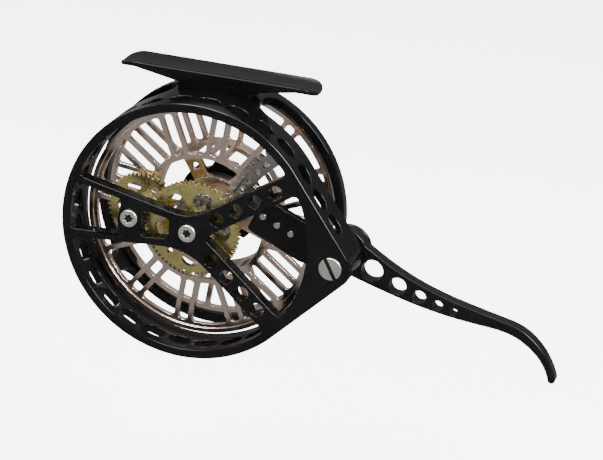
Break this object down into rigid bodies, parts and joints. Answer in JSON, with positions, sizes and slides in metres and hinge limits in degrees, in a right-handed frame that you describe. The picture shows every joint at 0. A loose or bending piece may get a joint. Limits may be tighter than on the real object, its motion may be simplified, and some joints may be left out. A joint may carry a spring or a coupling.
{
  "type": "semi-automatic fly reel",
  "caption": "Skeletonised fly reel wound by a finger lever: black drilled cage and foot, champagne spoked spool, exposed brass gears and a steel toothed sector.",
  "frame": {"origin": "middle of the foot's seat, at the height of its long edges", "axes": "+X along the foot to the lever side; +Y along the spool axis to the rear ring; +Z out of the foot, towards the rod"},
  "size_m": [0.1595, 0.0365, 0.089],
  "materials": {
    "black_anodised": "satin black anodised",
    "black_satin": "satin black anodised, brushed flat sides",
    "champagne_anodised": "glossy champagne anodised",
    "brass": "machined",
    "bronze": "sintered",
    "gear_steel": "machined",
    "screw_steel": "polished",
    "ground_steel": "ground",
    "spring_steel": "drawn",
    "drag_disc": "matt"
  },
  "bodies": {
    "reel_frame": {"frame": "black_anodised", "reel_foot": "black_anodised", "foot_screws": "screw_steel", "spool_axle": "ground_steel", "axle_screw": "screw_steel", "intermediate_axle": "ground_steel", "intermediate_screw": "screw_steel", "pivot_axle": "ground_steel", "pivot_screw": "screw_steel", "pivot_cap": "black_anodised", "thrust_washer": "ground_steel", "lever_spring": "spring_steel", "lever_stop": "ground_steel", "knob_screw": "screw_steel"},
    "winding_lever": {"lever": "black_satin", "lever_hub": "ground_steel", "lever_arm": "black_satin", "toothed_sector": "gear_steel", "sector_rivets": "screw_steel", "pivot_bush": "bronze"},
    "main_shaft": {"main_gear": "brass", "main_gear_hub": "brass", "main_gear_bush": "bronze", "drive_pinion": "gear_steel"},
    "intermediate_shaft": {"intermediate_pinion": "gear_steel", "intermediate_gear": "brass", "intermediate_hub": "gear_steel", "intermediate_bush": "bronze"},
    "spool_driver": {"spool_gear": "gear_steel", "drive_sleeve": "gear_steel"},
    "line_spool": {"spool_hub": "champagne_anodised", "spool_front_flange": "champagne_anodised", "spool_rear_flange": "champagne_anodised", "spool_arbor": "champagne_anodised", "front_bush": "bronze", "clutch_cup": "ground_steel", "clutch_rollers": "ground_steel", "rear_bearing": "ground_steel", "drag_washer": "drag_disc"},
    "drag_control": {"drag_knob": "black_anodised"}
  },
  "joints": [
    {"name": "lever_swing", "type": "hinge", "parent": "reel_frame", "child": "winding_lever", "pos_m": [0.0468, 0, -0.05], "axis": [0, -1, 0], "range_deg": [0, 40], "stiffness_Nm_per_rad": 0.05, "springref_deg": -28.65},
    {"name": "main_gear_spin", "type": "hinge", "parent": "reel_frame", "child": "main_shaft", "pos_m": [0, 0, -0.047], "axis": [0, -1, 0], "range_deg": [-237.29, 2]},
    {"name": "intermediate_spin", "type": "hinge", "parent": "reel_frame", "child": "intermediate_shaft", "pos_m": [-0.01944, 0, -0.0455], "axis": [0, -1, 0], "range_deg": [-2, 788.31]},
    {"name": "spool_gear_spin", "type": "hinge", "parent": "reel_frame", "child": "spool_driver", "pos_m": [0, 0, -0.047], "axis": [0, -1, 0], "range_deg": [-1019.99, 2]},
    {"name": "spool_spin", "type": "hinge", "parent": "reel_frame", "child": "line_spool", "pos_m": [0, 0, -0.047], "axis": [0, -1, 0], "continuous": true},
    {"name": "drag_knob_turn", "type": "hinge", "parent": "reel_frame", "child": "drag_control", "pos_m": [0, 0, -0.047], "axis": [0, -1, 0], "range_deg": [-150, 150]}
  ],
  "couplings": [
    {"joint": "main_gear_spin", "follows": "lever_swing", "ratio": -5.8824},
    {"joint": "intermediate_spin", "follows": "lever_swing", "ratio": 19.608},
    {"joint": "spool_gear_spin", "follows": "lever_swing", "ratio": -25.375}
  ]
}
